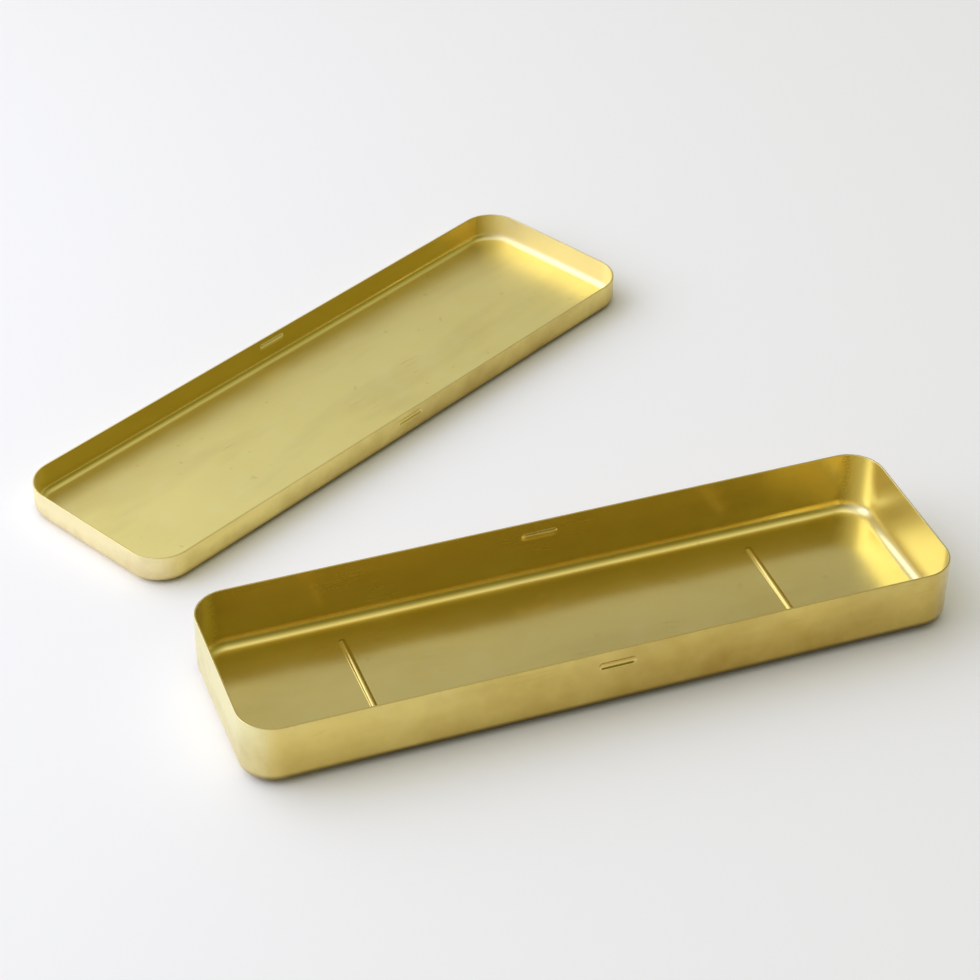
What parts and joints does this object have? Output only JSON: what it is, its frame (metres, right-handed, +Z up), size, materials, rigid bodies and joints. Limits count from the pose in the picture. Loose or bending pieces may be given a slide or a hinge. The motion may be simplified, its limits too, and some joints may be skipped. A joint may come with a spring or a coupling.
{
  "type": "brass pen case",
  "caption": "Long shallow pen case of thin brass sheet with rounded corners: a deep open tray with ribs across its floor, and its slip-on lid lying open side up beside it.",
  "frame": {"origin": "middle of the base tray's underside, on the surface that the case lies on", "axes": "+X along the length of the base tray, +Y across it towards the lid, +Z up out of the tray"},
  "size_m": [0.2139, 0.2153, 0.0186],
  "materials": {
    "brass_sheet": "satin, unlacquered sheet with faint handling marks"
  },
  "bodies": {
    "base": {"base_tray": "brass_sheet"},
    "lid": {"lid": "brass_sheet"}
  },
  "joints": [
    {"name": "lid_lift", "type": "slide", "parent": "base", "child": "lid", "axis": [0, 0, 1], "range_m": [0, 0.06]}
  ]
}
